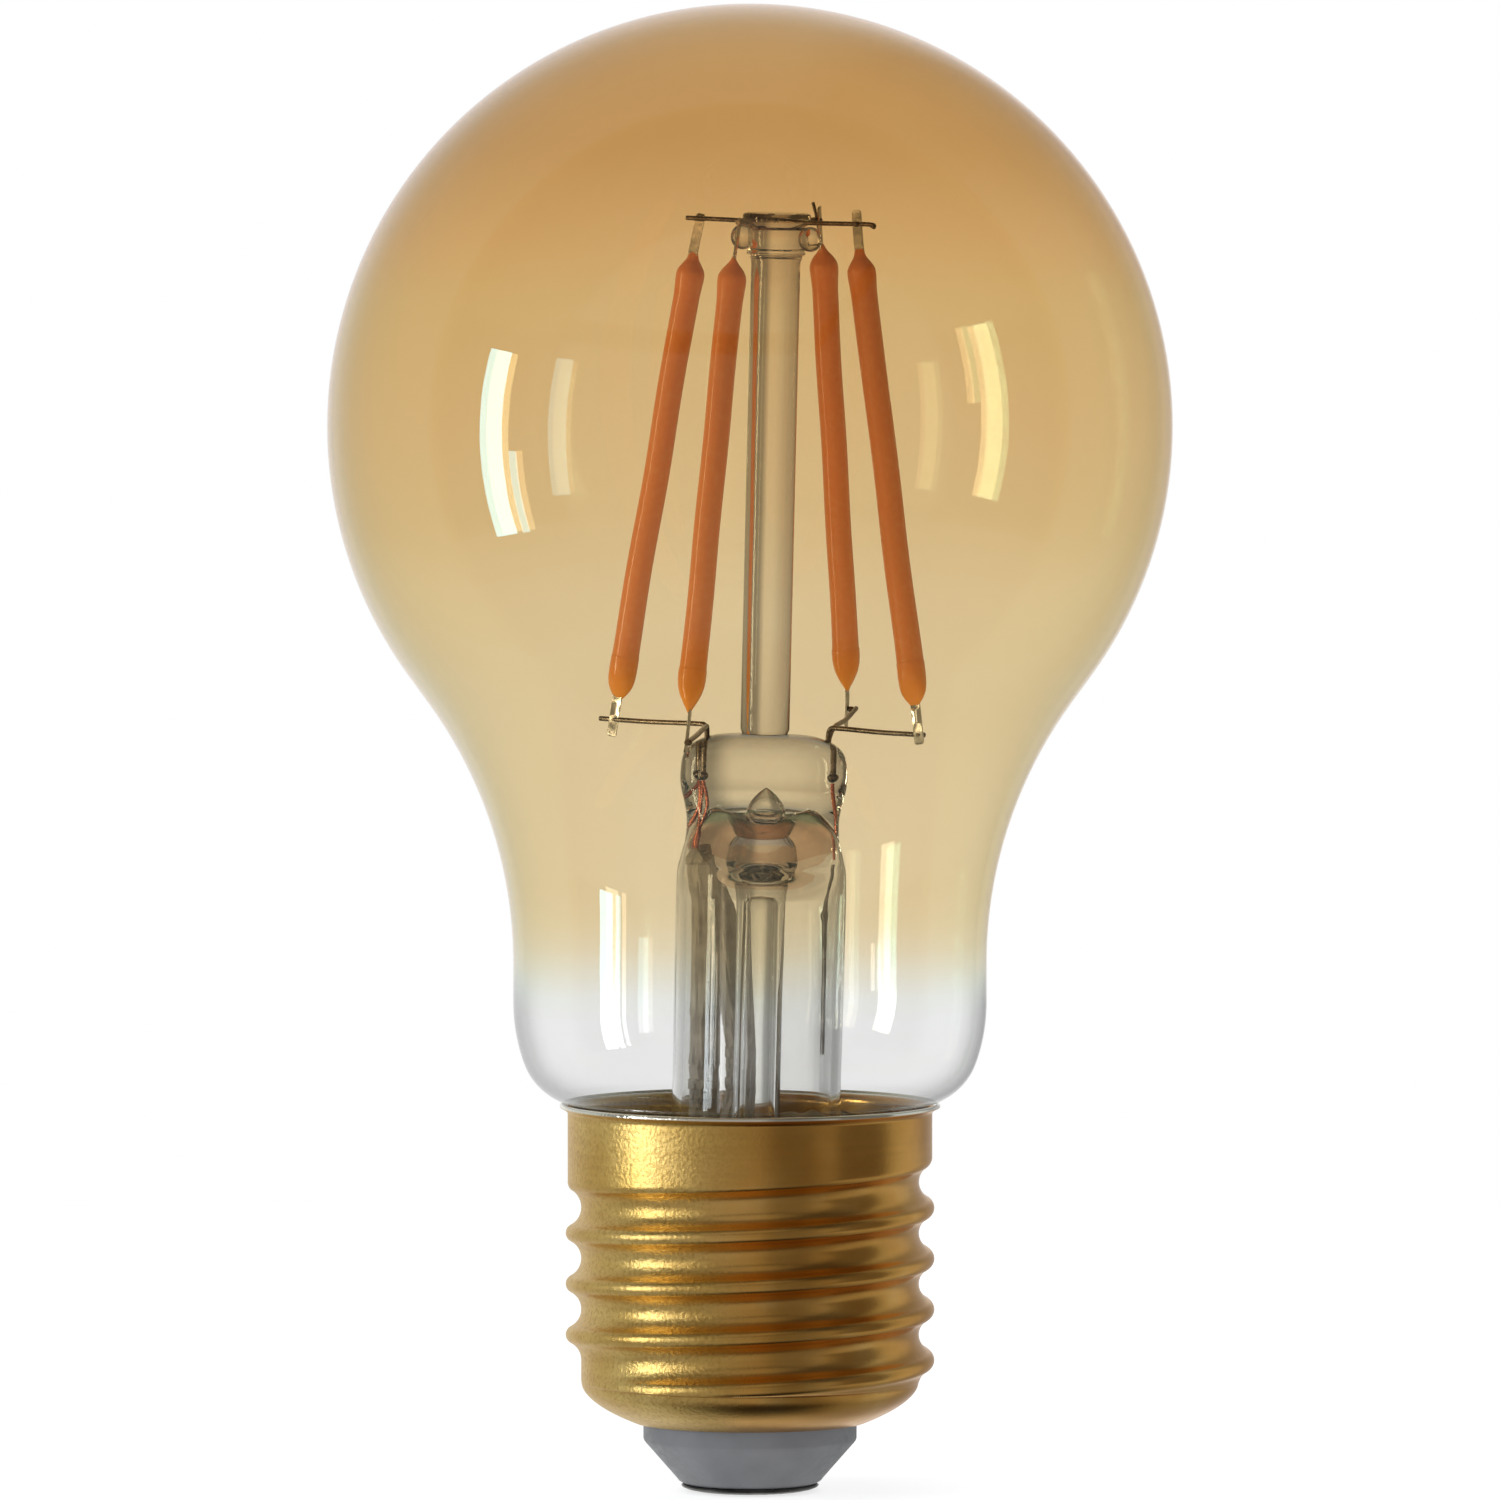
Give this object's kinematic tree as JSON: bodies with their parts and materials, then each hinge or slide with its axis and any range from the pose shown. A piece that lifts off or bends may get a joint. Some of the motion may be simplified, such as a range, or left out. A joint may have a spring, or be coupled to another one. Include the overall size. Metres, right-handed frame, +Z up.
{
  "type": "light bulb",
  "caption": "Smart filament light bulb: amber-coated pear-shaped glass with upright LED filaments on a glass stem, and a brass E27 screw cap holding a wireless driver.",
  "frame": {"origin": "centre of the flat face of the centre contact, under the screw cap", "axes": "+Z up the bulb's axis from the cap to the dome, -Y the front, +X the right-hand side"},
  "size_m": [0.0596, 0.0596, 0.1058],
  "materials": {
    "amber_glass": "blown glass with an amber coating that fades to clear at the neck",
    "clear_glass": "clear lead-free stem glass",
    "phosphor": "silicone filled with orange-brown phosphor",
    "ceramic": "white filament substrate with chips",
    "nickel": "drawn nickel wire and stamped nickel strip",
    "copper": "copper-coated seal wire",
    "tinned_copper": "tinned wire",
    "fibreglass": "grey braided fibreglass sleeve",
    "brass": "pressed brass sheet with a satin surface",
    "vitrite": "grey insulating glass",
    "contact_metal": "dark nickel-plated contact",
    "cement": "capping cement",
    "clear_plastic": "thin plastic liner",
    "circuit_board": "green circuit board",
    "dark_plastic": "black moulded packages",
    "ferrite": "ferrite drum core with its winding",
    "resistor_coat": "blue resistor lacquer",
    "tin": "tin-plated shield"
  },
  "bodies": {
    "root": {"glass_envelope": "amber_glass", "glass_stem": "clear_glass", "exhaust_tube": "clear_glass", "glass_post": "clear_glass", "bridge_wire_upper": "nickel", "bridge_wire_lower": "nickel", "filament_front_right_phosphor": "phosphor", "filament_front_right_strip": "ceramic", "filament_front_right_top_tab": "nickel", "filament_front_right_bottom_tab": "nickel", "filament_back_right_phosphor": "phosphor", "filament_back_right_strip": "ceramic", "filament_back_right_top_tab": "nickel", "filament_back_right_bottom_tab": "nickel", "filament_back_left_phosphor": "phosphor", "filament_back_left_strip": "ceramic", "filament_back_left_top_tab": "nickel", "filament_back_left_bottom_tab": "nickel", "filament_front_left_phosphor": "phosphor", "filament_front_left_strip": "ceramic", "filament_front_left_top_tab": "nickel", "filament_front_left_bottom_tab": "nickel", "back_left_lead_arm": "nickel", "back_left_lead_seal": "copper", "back_left_lead_tail": "tinned_copper", "back_left_lead_sleeve": "fibreglass", "front_left_lead_arm": "nickel", "front_left_lead_seal": "copper", "front_left_lead_tail": "tinned_copper", "front_left_lead_sleeve": "fibreglass", "right_jumper_front_arm": "nickel", "right_jumper_back_arm": "nickel", "right_jumper_seal": "copper", "right_jumper_tail": "tinned_copper", "screw_shell": "brass", "base_insulator": "vitrite", "centre_contact": "contact_metal", "base_cement": "cement", "insulating_liner": "clear_plastic", "driver_board": "circuit_board", "electrolytic_capacitor": "dark_plastic", "choke_inductor": "ferrite", "fuse_resistor": "resistor_coat", "driver_chip": "dark_plastic", "bridge_rectifier": "dark_plastic", "wireless_module": "circuit_board", "wireless_shield": "tin", "antenna_wire": "copper", "live_wire": "tinned_copper", "neutral_wire": "tinned_copper"}
  },
  "joints": []
}
